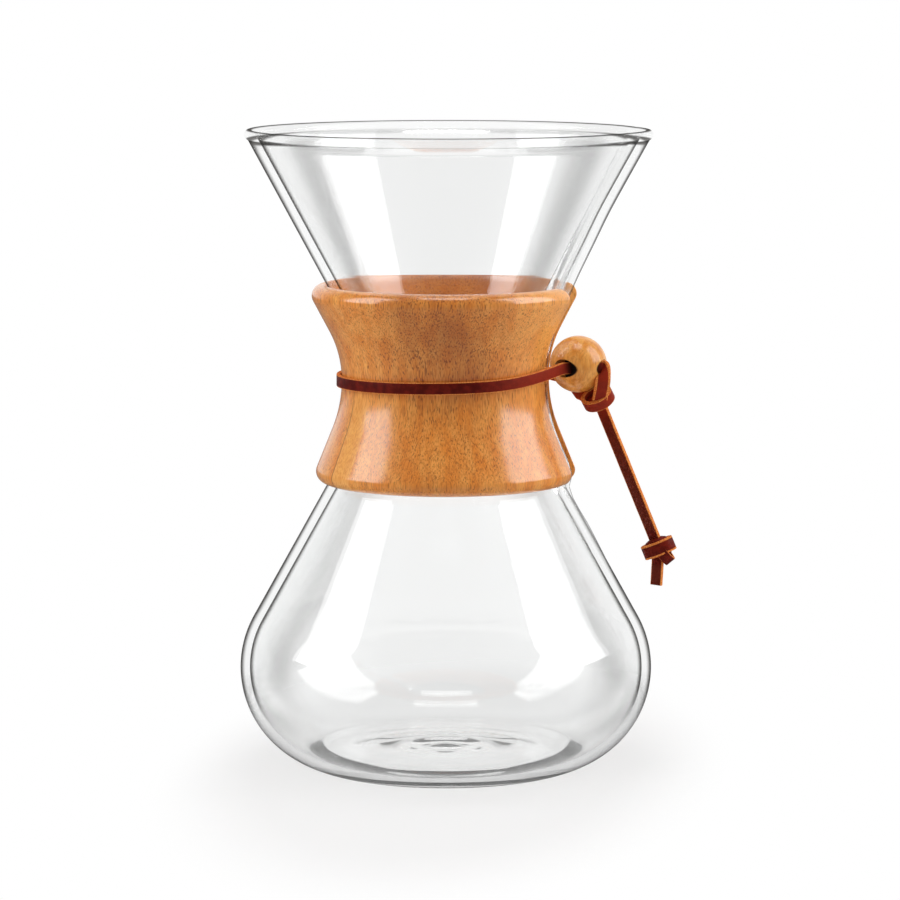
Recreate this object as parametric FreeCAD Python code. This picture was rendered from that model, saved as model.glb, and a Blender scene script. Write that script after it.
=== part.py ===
import FreeCAD, Part
import math
import os

# Pour-over coffee maker: a one-piece glass vessel with a funnel above and a flask below,
# a turned wood collar in two halves round its neck, and a leather lace with a wood bead.
# Millimetres and degrees. The origin is the centre of the base on the table, +Z is up,
# +X points at the pouring flute and the bead, and the two collar halves meet on the XZ plane.

# Glass vessel, sizes of its outer surface
rim_height = 202.5
rim_radius = 63.3
funnel_angle = 28.25
neck_round = 42.0
shoulder_angle = 29.1
belly_radius = 65.7
belly_round = 32.5
glass_wall = 3.0
floor_thickness = 5.5
floor_corner = 6.0
lip_radius = 1.6
lip_inset = 1.3
foot_ring_width = 6.0
foot_dish_depth = 1.2

# Pouring flute down the +X side: height above the narrowest part of the neck, half width
# and rise above the round wall
flute_stations = [
    (79.8, 20.0, 1.9),
    (57.3, 16.5, 1.6),
    (45.3, 14.6, 2.2),
    (32.3, 12.0, 3.0),
    (20.3, 10.2, 4.7),
    (11.3, 8.2, 5.3),
    (3.3, 6.6, 6.0),
    (-6.7, 6.0, 6.3),
    (-16.7, 6.1, 6.4),
    (-22.7, 6.0, 5.8),
    (-27.7, 5.6, 4.9),
    (-32.2, 5.2, 1.5),
    (-45.7, 5.0, 0.9),
    (-64.7, 4.4, -0.5),
]
flute_pitch = 6.0
flute_edge_sink = 0.3
flute_wall_inset = 2.2

# Wood collar, placed from the narrowest part of the glass neck
collar_fit = 0.3
collar_lift = 1.8
collar_waist_wall = 6.6
collar_rise = 30.4
collar_drop = 32.5
collar_upper_round = 33.5
collar_lower_round = 41.0
collar_top_edge = 3.5
collar_bottom_edge = 3.4
collar_top_land = 0.85
collar_bottom_land = 0.4
seam_gap = 0.6
flute_clearance = 0.8

# Leather lace. A straight run reaches into the round one before it by a share of its length
lace_width = 3.8
lace_thickness = 1.3
lace_fit = 0.2
band_lift = 0.75
band_tilt = 1.1
knot_gap = 0.3
run_overlap = 0.02

# Bead against the collar, with its bore close to its front side
bead_radius = 9.0
bead_gap = 0.1
bead_rise = 4.7
bore_fit = 0.29
bore_wall = 1.0
bore_chamfer = 0.7
bore_drop = 0.65
bore_turn = 20.3

# Upper knot below the bead
knot_out = 6.3
knot_forward = 0.8
knot_below = 1.7
knot_half_length = 5.15
knot_half_depth = 4.2
knot_recess = 1.0

# Rear strand: where it turns down behind the bead, from the bead's centre, and where it ends,
# from the upper knot's centre
rear_strand_turn = FreeCAD.Vector(-3.0, 8.8, -8.4)
rear_strand_end = FreeCAD.Vector(-4.9, 3.9, -0.5)

# Loop from the bore's right mouth over and down into the upper knot. Each row is a place, the
# way that the lace runs there and the way that its width lies, all as steps to the right,
# towards the front and up
loop_turn = 6.5
loop_rows = [
    ((1.25, 1.05, -1.1), (1.0, 0.8, -0.9), (0.7, 0.0, 1.0)),
    ((0.1, 1.9, -3.8), (0.0, 0.1, -1.0), (1.0, -0.75, 0.0)),
    ((-0.3, 1.1, -6.6), (0.0, -0.3, -1.0), (1.0, -0.5, 0.0)),
    ((-0.5, -0.4, -10.4), (0.0, -0.3, -1.0), (1.0, -0.3, 0.0)),
]

# Hanging strap, the knot at its end and the short tail
hang_angle = 22.4
hang_length = 43.05
hang_turn = 30.0
hang_end_radius = 2.1
hang_tip_share = 0.35
end_knot_half_length = 5.3
end_knot_half_depth = 3.7
end_knot_height = 8.0
end_knot_band_tilt = -16.0
tail_length = 8.0
tail_lean = -3.0

up = FreeCAD.Vector(0, 0, 1)
front = FreeCAD.Vector(0, -1, 0)


def section_point(radius, height):
    return FreeCAD.Vector(radius, 0, height)


def section_direction(angle):
    """Unit vector in the XZ plane, angle measured up from +X."""
    return FreeCAD.Vector(math.cos(math.radians(angle)), 0, math.sin(math.radians(angle)))


def plan_direction(angle):
    """Unit vector in the XY plane, angle measured from +X towards +Y."""
    return FreeCAD.Vector(math.cos(math.radians(angle)), math.sin(math.radians(angle)), 0)


def line(start, end):
    return Part.LineSegment(start, end).toShape()


def arc(start, middle, end):
    return Part.Arc(start, middle, end).toShape()


def turned(edges):
    """Solid of revolution about Z of a closed outline in the XZ plane."""
    return Part.Face(Part.Wire(edges)).revolve(FreeCAD.Vector(0, 0, 0), up, 360)


# Outer surface of the vessel: two straight walls joined by the neck round, and the belly round
funnel_normal = section_direction(-funnel_angle)
shoulder_normal = section_direction(shoulder_angle)
belly_centre = section_point(belly_radius - belly_round, belly_round)
rim_point = section_point(rim_radius, rim_height)


def neck_centre():
    """Centre of the neck round, one radius outside the funnel wall and the shoulder wall."""
    a = funnel_normal
    b = shoulder_normal
    along_a = neck_round + rim_point.dot(a)
    along_b = neck_round + (belly_centre + b * belly_round).dot(b)
    det = a.x * b.z - a.z * b.x
    return section_point((along_a * b.z - along_b * a.z) / det, (a.x * along_b - b.x * along_a) / det)


neck = neck_centre()
neck_radius = neck.x - neck_round


def wall_path(inset, top):
    """Wall profile from the belly round up to height top, inset from the outer surface."""
    belly = belly_round - inset
    neck_arc = neck_round + inset
    shoulder_start = belly_centre + shoulder_normal * belly
    shoulder_end = neck - shoulder_normal * neck_arc
    funnel_start = neck - funnel_normal * neck_arc
    climb = (top - funnel_start.z) / math.cos(math.radians(funnel_angle))
    funnel_end = funnel_start + section_direction(90 - funnel_angle) * climb
    return {
        "belly": belly,
        "shoulder_start": shoulder_start,
        "shoulder_end": shoulder_end,
        "waist": section_point(neck.x - neck_arc, neck.z),
        "funnel_start": funnel_start,
        "funnel_end": funnel_end,
    }


def wall_edges(path):
    """Edges from the belly's widest point to the top of the funnel."""
    widest = belly_centre + section_direction(0) * path["belly"]
    half_way = belly_centre + section_direction(shoulder_angle / 2) * path["belly"]
    return [
        arc(widest, half_way, path["shoulder_start"]),
        line(path["shoulder_start"], path["shoulder_end"]),
        arc(path["shoulder_end"], path["waist"], path["funnel_start"]),
        line(path["funnel_start"], path["funnel_end"]),
    ]


def wall_radius(inset, height):
    """Radius of the wall at a height above the belly's widest point."""
    path = wall_path(inset, rim_height)
    if height >= path["funnel_start"].z:
        climb = height - path["funnel_start"].z
        return path["funnel_start"].x + climb * math.tan(math.radians(funnel_angle))
    if height >= path["shoulder_end"].z:
        neck_arc = neck_round + inset
        return neck.x - math.sqrt(neck_arc**2 - (height - neck.z) ** 2)
    if height >= path["shoulder_start"].z:
        drop = path["shoulder_end"].z - height
        return path["shoulder_end"].x + drop * math.tan(math.radians(shoulder_angle))
    return belly_centre.x + math.sqrt(path["belly"] ** 2 - (height - belly_centre.z) ** 2)


def outer_body():
    path = wall_path(0, rim_height)
    foot = section_point(belly_centre.x, 0)
    foot_inside = section_point(belly_centre.x - foot_ring_width, 0)
    dish_top = section_point(0, foot_dish_depth)
    half_way = 0.5
    dish_middle = section_point(foot_inside.x * half_way, foot_dish_depth * (1 - half_way**2))
    widest = belly_centre + section_direction(0) * belly_round
    under = belly_centre + section_direction(-45) * belly_round
    axis_top = section_point(0, rim_height)
    edges = [arc(dish_top, dish_middle, foot_inside), line(foot_inside, foot)]
    edges += [arc(foot, under, widest)] + wall_edges(path)
    edges += [line(path["funnel_end"], axis_top), line(axis_top, dish_top)]
    return turned(edges)


def inner_body():
    """The hollow: flat floor with a round corner, then the wall's inner surface, open above."""
    top = rim_height + 2 * lip_radius
    path = wall_path(glass_wall, top)
    reach = path["belly"] - floor_corner
    rise = floor_thickness + floor_corner - belly_centre.z
    corner = belly_centre + section_point(math.sqrt(reach**2 - rise**2), rise)
    meet_angle = math.degrees(math.atan2(rise, corner.x - belly_centre.x))
    widest = belly_centre + section_direction(0) * path["belly"]
    corner_end = corner + section_direction(meet_angle) * floor_corner
    corner_middle = corner + section_direction((meet_angle - 90) / 2) * floor_corner
    corner_start = corner + section_direction(-90) * floor_corner
    belly_middle = belly_centre + section_direction(meet_angle / 2) * path["belly"]
    floor_centre = section_point(0, floor_thickness)
    axis_top = section_point(0, top)
    edges = [line(floor_centre, corner_start), arc(corner_start, corner_middle, corner_end)]
    edges += [arc(corner_end, belly_middle, widest)] + wall_edges(path)
    edges += [line(path["funnel_end"], axis_top), line(axis_top, floor_centre)]
    return turned(edges)


def flute_size(height, column):
    """Half width (column 1) or rise (column 2) of the flute at a height, between its stations."""
    climb = height - neck.z
    for above, below in zip(flute_stations, flute_stations[1:]):
        if climb >= below[0]:
            share = (climb - below[0]) / (above[0] - below[0])
            return below[column] + (above[column] - below[column]) * share
    return flute_stations[-1][column]


def flute_body(inset):
    """Bulge along the wall: lens sections stacked up the +X side."""
    top = rim_height + inset
    bottom = neck.z + flute_stations[-1][0]
    steps = round((top - bottom) / flute_pitch)
    sections = []
    for step in range(steps + 1):
        height = bottom + (top - bottom) * step / steps
        radius = wall_radius(inset, height)
        half = flute_size(height, 1) - flute_wall_inset * inset / glass_wall
        tip = FreeCAD.Vector(radius + flute_size(height, 2), 0, height)
        edge_x = math.sqrt((radius - flute_edge_sink) ** 2 - half**2)
        edge_x = min(edge_x, tip.x - flute_edge_sink / 2)
        left = FreeCAD.Vector(edge_x, -half, height)
        right = FreeCAD.Vector(edge_x, half, height)
        sections.append(Part.Wire([arc(left, tip, right), line(right, left)]))
    return Part.makeLoft(sections, True, False)


def lip_over_flute():
    """Length of the rounded lip that follows the flute's curve outwards."""
    half = flute_size(rim_height, 1)
    edge_x = math.sqrt((rim_radius - flute_edge_sink) ** 2 - half**2)
    depth = rim_radius + flute_size(rim_height, 2) - edge_x
    curve = (half**2 + depth**2) / (2 * depth)
    spread = math.degrees(math.asin(half / curve))
    centre = FreeCAD.Vector(edge_x + depth - curve, 0, rim_height)
    lip_middle = curve - lip_inset
    start = FreeCAD.Vector(lip_middle, 0, 0)
    ring = Part.Face(Part.Wire(Part.makeCircle(lip_radius, start, front)))
    ring = ring.revolve(FreeCAD.Vector(0, 0, 0), up, 2 * spread)
    ring.Placement = FreeCAD.Placement(centre, FreeCAD.Rotation(up, -spread))
    return ring


def make_vessel():
    lip = Part.makeTorus(rim_radius - lip_inset, lip_radius, up * rim_height, up)
    body = outer_body().fuse(flute_body(0)).cut(inner_body()).cut(flute_body(glass_wall))
    return body.fuse(lip).fuse(lip_over_flute()).removeSplitter()


waist_height = neck.z + collar_lift
waist_radius = neck_radius + collar_fit + collar_waist_wall
collar_top = waist_height + collar_rise
collar_bottom = waist_height - collar_drop


def flare(toward):
    """One flare of the collar, up (toward 1) or down (toward -1): its arcs and their centres."""
    waist_round = collar_upper_round if toward > 0 else collar_lower_round
    edge = collar_top_edge if toward > 0 else collar_bottom_edge
    land = collar_top_land if toward > 0 else collar_bottom_land
    end = collar_top if toward > 0 else collar_bottom
    waist_centre = section_point(waist_radius + waist_round, waist_height)
    edge_centre = section_point(wall_radius(-collar_fit, end) + land, end - toward * edge)
    apart = waist_centre - edge_centre
    lean = math.degrees(math.atan2(apart.z, apart.x))
    lean += toward * math.degrees(math.acos((waist_round + edge) / apart.Length))
    return {
        "lean": lean,
        "flare_start": waist_centre - section_direction(lean) * waist_round,
        "waist_middle": waist_centre - section_direction(lean / 2) * waist_round,
        "flare_end": edge_centre + section_direction(lean) * edge,
        "edge_middle": edge_centre + section_direction(lean / 2 + toward * 45) * edge,
        "edge_end": edge_centre + up * (toward * edge),
    }


def collar_radius(height):
    """Outer radius of the collar between its two rounded edges."""
    toward = 1 if height >= waist_height else -1
    waist_round = collar_upper_round if toward > 0 else collar_lower_round
    side = flare(toward)
    if abs(height - waist_height) <= abs(side["flare_start"].z - waist_height):
        sagitta = math.sqrt(waist_round**2 - (height - waist_height) ** 2)
        return waist_radius + waist_round - sagitta
    past = abs(height - side["flare_start"].z)
    return side["flare_start"].x + past * math.tan(math.radians(abs(side["lean"])))


def make_collar():
    """Turned collar: its bore follows the glass, its outside has a waist and two flares."""
    waist = section_point(waist_radius, waist_height)
    upper = flare(1)
    lower = flare(-1)
    bore = wall_path(-collar_fit, collar_top)
    bore_bottom = section_point(wall_radius(-collar_fit, collar_bottom), collar_bottom)
    edges = [
        line(lower["edge_end"], bore_bottom),
        line(bore_bottom, bore["shoulder_end"]),
        arc(bore["shoulder_end"], bore["waist"], bore["funnel_start"]),
        line(bore["funnel_start"], bore["funnel_end"]),
        line(bore["funnel_end"], upper["edge_end"]),
        arc(upper["edge_end"], upper["edge_middle"], upper["flare_end"]),
        line(upper["flare_end"], upper["flare_start"]),
        arc(upper["flare_start"], upper["waist_middle"], waist),
        arc(waist, lower["waist_middle"], lower["flare_start"]),
        line(lower["flare_start"], lower["flare_end"]),
        arc(lower["flare_end"], lower["edge_middle"], lower["edge_end"]),
    ]
    return turned(edges)


def flute_opening():
    """Gap between the halves on the +X side, wider than the flute by the clearance."""
    low = collar_bottom - collar_bottom_edge
    high = collar_top + collar_top_edge
    stations = [neck.z + station[0] for station in reversed(flute_stations)]
    heights = [low] + [height for height in stations if low < height < high] + [high]
    points = []
    for height in heights:
        points.append(FreeCAD.Vector(0, flute_size(height, 1) + flute_clearance, height))
    side = Part.BSplineCurve()
    side.interpolate(points)
    mirrored = Part.BSplineCurve()
    mirrored.interpolate([FreeCAD.Vector(p.x, -p.y, p.z) for p in points])
    ends = [FreeCAD.Vector(p.x, -p.y, p.z) for p in (points[-1], points[0])]
    edges = [side.toShape(), line(points[-1], ends[0])]
    edges += [mirrored.toShape(), line(ends[1], points[0])]
    return Part.Face(Part.Wire(Part.__sortEdges__(edges))).extrude(section_direction(0) * belly_radius)


def make_collar_halves():
    collar = make_collar().cut(flute_opening())
    size = 2 * belly_radius
    height = collar_top - collar_bottom
    corner = FreeCAD.Vector(-belly_radius, seam_gap / 2, collar_bottom)
    rear_space = Part.makeBox(size, size, height, corner)
    front_space = rear_space.mirror(FreeCAD.Vector(0, 0, 0), FreeCAD.Vector(0, 1, 0))
    return collar.common(front_space), collar.common(rear_space)


band_height = waist_height + band_lift
band_slope = math.tan(math.radians(band_tilt))


def band_rest_radius():
    """Radius of the lace's middle, clear of the collar over the lace's whole tilted width."""
    reach = lace_width / 2 + waist_radius * band_slope
    widest = max(collar_radius(band_height - reach), collar_radius(band_height + reach))
    return widest + lace_fit + lace_thickness / 2


band_radius = band_rest_radius()
bead_out = waist_radius + bead_gap + bead_radius
bead_centre = FreeCAD.Vector(bead_out, 0, band_height + bead_rise)
bore_radius = math.hypot(lace_width, lace_thickness) / 2 + bore_fit
bore_offset = bead_radius - bore_radius - bore_wall
bore_axis = plan_direction(bore_turn)
bore_side = plan_direction(bore_turn - 90)
bore_middle = bead_centre + bore_side * bore_offset - up * bore_drop
bore_half = math.sqrt(bead_radius**2 - bore_offset**2)
bore_entry = bore_middle - bore_axis * bore_half
bore_exit = bore_middle + bore_axis * bore_half


def make_bead():
    ball = Part.makeSphere(bead_radius, bead_centre)
    reach = 2 * bead_radius
    bore = Part.makeCylinder(bore_radius, reach, bore_middle - bore_axis * reach / 2, bore_axis)
    ball = ball.cut(bore)
    for mouth, outward in ((bore_entry, bore_axis * -1), (bore_exit, bore_axis)):
        start = mouth - outward * bore_chamfer
        wide = bore_radius + 2 * bore_chamfer
        ball = ball.cut(Part.makeCone(bore_radius, wide, 2 * bore_chamfer, start, outward))
    return ball


def strap_section(centre, along, across, share=1):
    """Rectangle of the lace at a point: width along across, thickness square to both."""
    along = FreeCAD.Vector(along).normalize()
    wide = (across - along * across.dot(along)).normalize()
    thick = along.cross(wide)
    corners = []
    for side, face in ((1, 1), (1, -1), (-1, -1), (-1, 1)):
        corner = wide * (side * lace_width / 2) + thick * (face * lace_thickness / 2)
        corners.append(centre + corner * share)
    return Part.makePolygon(corners + corners[:1])


def strap_run(start, end, across):
    return Part.Face(strap_section(start, end - start, across)).extrude(end - start)


def bent_run(points, across):
    """Stretch of lace through points, mitred where it bends."""
    runs = [(end - start).normalize() for start, end in zip(points, points[1:])]
    ways = runs[:1] + [before + after for before, after in zip(runs, runs[1:])] + runs[-1:]
    sections = [strap_section(point, way, across) for point, way in zip(points, ways)]
    return Part.makeLoft(sections, True, True)


def band(start_angle, end_angle):
    """Stretch of lace lying round the waist, tilted up towards +X."""
    start = plan_direction(start_angle) * band_radius + up * band_height
    face = Part.Face(strap_section(start, plan_direction(start_angle + 90), up))
    strap = face.revolve(FreeCAD.Vector(0, 0, 0), up, end_angle - start_angle)
    strap.rotate(FreeCAD.Vector(0, 0, band_height), FreeCAD.Vector(0, 1, 0), -band_tilt)
    return strap


def leave_angle(target, turn):
    """Angle at which a taut lace leaves the waist towards a point, turn is +1 or -1."""
    away = math.hypot(target.x, target.y)
    spread = math.degrees(math.acos(band_radius / away))
    return math.degrees(math.atan2(target.y, target.x)) + turn * spread


def band_point(angle):
    point = plan_direction(angle) * band_radius
    return point + up * (band_height + point.x * band_slope)


seam_angle = math.degrees(seam_gap / 2 / band_radius)
hang_direction = section_direction(hang_angle - 90)
knot_drop = bead_radius + knot_below
knot_centre = bead_centre + FreeCAD.Vector(knot_out, -knot_forward, -knot_drop)


def knot_ring(centre, axis, half_length, half_depth, height):
    """Oval drum of a knot: its long way lies in the XZ plane, square to its axis."""
    drum = Part.Ellipse(FreeCAD.Vector(0, 0, 0), half_length, half_depth).toShape()
    drum = Part.Face(Part.Wire(drum)).extrude(up * height)
    turn = FreeCAD.Rotation(FreeCAD.Vector(0, 1, 0), math.degrees(math.atan2(axis.x, axis.z)))
    drum.Placement = FreeCAD.Placement(centre - axis * height / 2, turn)
    return drum


def loop_vector(steps):
    """Vector of steps to the right, towards the front and up."""
    return plan_direction(loop_turn) * steps[0] + plan_direction(loop_turn - 90) * steps[1] + up * steps[2]


def loop_stations():
    """Place, run and width direction of the lace at each end and bend of the loop."""
    stations = [(bore_exit, bore_axis, up)]
    for place, along, across in loop_rows:
        stations.append((bore_exit + loop_vector(place), loop_vector(along), loop_vector(across)))
    return stations


def make_front_strand():
    """Lace from the seam round the front to the bead and through its bore."""
    away = leave_angle(bore_entry, -1)
    leave = band_point(away)
    start = leave - (bore_entry - leave) * run_overlap
    return band(seam_angle - 180, away).fuse(bent_run([start, bore_entry, bore_exit], up))


def make_upper_knot():
    ring = knot_ring(knot_centre, hang_direction, knot_half_length, knot_half_depth, lace_width)
    hollow = knot_ring(
        knot_centre - hang_direction * (lace_width / 2),
        hang_direction,
        knot_half_length - lace_thickness,
        knot_half_depth - lace_thickness,
        2 * knot_recess,
    )
    sections = [strap_section(*station) for station in loop_stations()]
    loop = Part.makeLoft(sections, True, True)
    return ring.cut(hollow).fuse(loop)


def make_rear_strand():
    """Lace from the seam round the rear to behind the bead, then down to the upper knot."""
    turn = bead_centre + rear_strand_turn
    end = knot_centre + rear_strand_end
    away = leave_angle(turn, 1)
    leave = band_point(away)
    start = leave - (turn - leave) * run_overlap
    return band(away, 180 - seam_angle).fuse(bent_run([start, turn, end], up))


pivot = knot_centre + hang_direction * (lace_width / 2 + knot_gap + hang_end_radius)
end_knot_centre = pivot + hang_direction * (hang_length + end_knot_height / 2)


def make_end_knot():
    core = knot_ring(end_knot_centre, hang_direction, end_knot_half_length - lace_thickness,
                     end_knot_half_depth - lace_thickness / 2, end_knot_height)
    tilt = FreeCAD.Rotation(FreeCAD.Vector(0, 1, 0), end_knot_band_tilt)
    axis = tilt.multVec(hang_direction)
    band_ring = knot_ring(end_knot_centre, axis, end_knot_half_length, end_knot_half_depth, lace_width)
    return core.fuse(band_ring)


def strap_across(direction):
    """Width direction of the hanging lace, whose face is turned away from the front."""
    flat = plan_direction(-hang_turn)
    return flat - direction * flat.dot(direction)


def make_hanging_strap(end_knot):
    across = strap_across(hang_direction)
    top = pivot - hang_direction * hang_end_radius
    tip_top = strap_section(top, hang_direction, across, hang_tip_share)
    tip_base = strap_section(pivot, hang_direction, across)
    tip = Part.makeLoft([tip_top, tip_base], True, True)
    return tip.fuse(strap_run(pivot, end_knot_centre, across)).cut(end_knot).removeSplitter()


def make_tail(end_knot):
    direction = section_direction(tail_lean - 90)
    end = end_knot_centre + direction * (end_knot_height / 2 + tail_length)
    return strap_run(end_knot_centre, end, strap_across(direction)).cut(end_knot)


def make_parts():
    front_half, rear_half = make_collar_halves()
    upper_knot = make_upper_knot()
    end_knot = make_end_knot()
    return {
        "glass_vessel": make_vessel(),
        "collar_front_half": front_half,
        "collar_rear_half": rear_half,
        "wood_bead": make_bead(),
        "lace_front_strand": make_front_strand().cut(upper_knot),
        "lace_rear_strand": make_rear_strand(),
        "lace_upper_knot": upper_knot,
        "lace_hanging_strap": make_hanging_strap(end_knot),
        "lace_end_knot": end_knot,
        "lace_tail": make_tail(end_knot),
    }


os.makedirs("parts", exist_ok=True)
for name, shape in make_parts().items():
    shape.exportStep(f"parts/{name}.step")
    print(name, "solids", len(shape.Solids), "volume", round(shape.Volume, 1), "valid", shape.isValid())
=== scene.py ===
import math

import bpy
from mathutils import Matrix, Vector


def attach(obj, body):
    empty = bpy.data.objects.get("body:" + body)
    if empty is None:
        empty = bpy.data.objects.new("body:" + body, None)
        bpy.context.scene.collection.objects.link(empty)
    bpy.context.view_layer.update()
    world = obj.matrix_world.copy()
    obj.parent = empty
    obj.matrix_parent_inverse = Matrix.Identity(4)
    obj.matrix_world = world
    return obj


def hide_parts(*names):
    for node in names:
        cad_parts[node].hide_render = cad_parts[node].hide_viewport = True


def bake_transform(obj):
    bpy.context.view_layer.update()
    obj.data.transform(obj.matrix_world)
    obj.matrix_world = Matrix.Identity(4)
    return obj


MM = 0.001
UP = Vector((0, 0, 1))
BACKWARD = Vector((0, 1, 0))

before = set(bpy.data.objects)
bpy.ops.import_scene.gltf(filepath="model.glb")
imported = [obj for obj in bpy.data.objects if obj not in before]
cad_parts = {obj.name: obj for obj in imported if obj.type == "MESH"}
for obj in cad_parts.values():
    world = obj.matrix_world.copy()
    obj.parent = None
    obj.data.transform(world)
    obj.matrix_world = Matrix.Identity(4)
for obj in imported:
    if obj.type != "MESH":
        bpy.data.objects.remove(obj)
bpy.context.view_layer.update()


# Sizes in millimetres; the main ones are the same as in the solids

RIM_HEIGHT = 202.5
RIM_RADIUS = 63.3
FUNNEL_ANGLE = math.radians(28.25)
NECK_ROUND = 42.0
SHOULDER_ANGLE = math.radians(29.1)
BELLY_RADIUS = 65.7
BELLY_ROUND = 32.5
WALL = 3.0
FLOOR = 5.5
FLOOR_CORNER = 6.0
LIP_RADIUS = 1.6
LIP_INSET = 1.3
FOOT_RING = 6.0
FOOT_DISH = 1.2
FOOT_CHAMFER = Vector((0.6, 0, -0.05))

# Rings that the blowing left in the floor of the flask, and a ridge at its heel
RIPPLE_HEIGHT = 0.36
RIPPLE_STEP = 11.5
RIPPLE_REACH = 40.0
HEEL_RADIUS = 39.5
HEEL_WIDTH = 1.8
HEEL_HEIGHT = 0.7

# Pouring flute: height above the narrowest part of the neck, half width and rise over the round wall
FLUTE = [
    (79.8, 20.0, 1.9),
    (57.3, 16.5, 1.6),
    (45.3, 14.6, 2.2),
    (32.3, 12.0, 3.0),
    (20.3, 10.2, 4.7),
    (11.3, 8.2, 5.3),
    (3.3, 6.6, 6.0),
    (-6.7, 6.0, 6.3),
    (-16.7, 6.1, 6.4),
    (-22.7, 6.0, 5.8),
    (-27.7, 5.6, 4.9),
    (-32.2, 5.2, 1.5),
    (-45.7, 5.0, 0.9),
    (-62.0, 4.4, 0.0),
]
FLUTE_WALL = 2.2
FLUTE_FALL = 0.75
FLUTE_CLEARANCE = 0.8
FLUTE_SPREAD = math.radians(35)

# Collar, from the narrowest part of the neck; 1 is its upper flare and -1 its lower one
COLLAR_FIT = 0.3
COLLAR_LIFT = 1.8
COLLAR_WALL = 6.6
COLLAR_RISE = 30.4
COLLAR_DROP = 32.5
COLLAR_ROUND = {1: 33.5, -1: 41.0}
COLLAR_EDGE = {1: 3.5, -1: 3.4}
COLLAR_LAND = {1: 0.85, -1: 0.4}
COLLAR_BEVEL = 0.7
SEAM = 0.6

# Flat lace, and its band round the collar's waist
LACE_WIDTH = 3.8
LACE_THICK = 1.3
LACE_ROUND = 0.18
LACE_UNEVENNESS = 0.12
LACE_FIT = 0.2
LACE_SLACK = 0.16
LOOP_WIDTH = 4.8
BAND_LIFT = 0.75
BAND_SLOPE = math.tan(math.radians(1.1))

# Bead against the collar; the lace enters its bore at the mouth -1 and leaves at 1
BEAD_RADIUS = 9.0
BEAD_GAP = 0.1
BEAD_RISE = 4.7
BORE_RADIUS = 2.3
BORE_WALL = 1.0
BORE_MOUTH = {-1: 2.85, 1: 2.45}
BORE_DROP = 0.65
BORE_TURN = math.radians(20.3)
BORE_INSET = 1.2

# Upper knot, from the bead's centre
KNOT_STEP = Vector((6.3, -0.8, -10.7))
KNOT_HALF_LENGTH = 5.15
KNOT_HALF_DEPTH = 4.2
KNOT_TILT = math.radians(35)
KNOT_CORE_DROP = 0.6
KNOT_CORE_HEIGHT = 2.0

# Strap that hangs from it, with a knot and a short tail at its end
HANG_ANGLE = math.radians(22.4)
HANG_TURN = math.radians(24)
HANG_REACH = 4.3
HANG_TOP = 2.2
HANG_LENGTH = 43.05
STRAP_BITE = 1.4
END_KNOT_HALF_LENGTH = 5.3
END_KNOT_HALF_DEPTH = 3.7
END_KNOT_HEIGHT = 8.0
END_KNOT_SHRINK = 1.6
END_KNOT_WIDTH = 4.5
END_TURN_WIDTH = 3.4
END_TURN_HALF = 2.6
END_TURN_TILT = math.radians(72)
END_TURN_STEP = Vector((1.9, -0.3, -2.0))
TAIL_LENGTH = 8.0
TAIL_LEAN = math.radians(-3)


def plan(angle):
    """Unit vector in the XY plane, angle in radians from +X towards +Y."""
    return Vector((math.cos(angle), math.sin(angle), 0))


def lean(angle):
    """Unit vector in the XZ plane, angle in radians up from +X."""
    return Vector((math.cos(angle), 0, math.sin(angle)))


# Glass vessel

FUNNEL_NORMAL = lean(-FUNNEL_ANGLE)
SHOULDER_NORMAL = lean(SHOULDER_ANGLE)
BELLY = Vector((BELLY_RADIUS - BELLY_ROUND, 0, BELLY_ROUND))


def neck_centre():
    """Centre of the neck's round, one radius outside the funnel's wall and the shoulder's."""
    a = FUNNEL_NORMAL
    b = SHOULDER_NORMAL
    along_a = NECK_ROUND + Vector((RIM_RADIUS, 0, RIM_HEIGHT)).dot(a)
    along_b = NECK_ROUND + (BELLY + b * BELLY_ROUND).dot(b)
    det = a.x * b.z - a.z * b.x
    return Vector(((along_a * b.z - along_b * a.z) / det, 0, (a.x * along_b - b.x * along_a) / det))


NECK = neck_centre()


def arc_points(centre, radius, start, end, count):
    """Points on an arc in the XZ plane, both ends included, angles in radians."""
    return [centre + lean(start + (end - start) * i / count) * radius for i in range(count + 1)]


def line_points(start, end, count):
    """Points on a line, both ends included."""
    return [start.lerp(end, i / count) for i in range(count + 1)]


def wall_points(inset, top, first_angle):
    """Outline of the wall from the belly up to the height top, inset from the outer surface."""
    belly = BELLY_ROUND - inset
    neck = NECK_ROUND + inset
    points = arc_points(BELLY, belly, first_angle, SHOULDER_ANGLE, 30)
    shoulder_end = NECK - SHOULDER_NORMAL * neck
    points += line_points(points[-1], shoulder_end, 14)[1:]
    points += arc_points(NECK, neck, math.pi + SHOULDER_ANGLE, math.pi - FUNNEL_ANGLE, 26)[1:]
    start = points[-1]
    end = start + lean(math.pi / 2 - FUNNEL_ANGLE) * ((top - start.z) / math.cos(FUNNEL_ANGLE))
    return points + line_points(start, end, 16)[1:]


def wall_radius(inset, height):
    """Radius of the wall at a height above the widest part."""
    neck = NECK_ROUND + inset
    start = NECK - FUNNEL_NORMAL * neck
    if height >= start.z:
        return start.x + (height - start.z) * math.tan(FUNNEL_ANGLE)
    end = NECK - SHOULDER_NORMAL * neck
    if height >= end.z:
        return NECK.x - math.sqrt(neck**2 - (height - NECK.z) ** 2)
    belly = BELLY + SHOULDER_NORMAL * (BELLY_ROUND - inset)
    if height >= belly.z:
        return end.x + (end.z - height) * math.tan(SHOULDER_ANGLE)
    return BELLY.x + math.sqrt((BELLY_ROUND - inset) ** 2 - (height - BELLY.z) ** 2)


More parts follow.
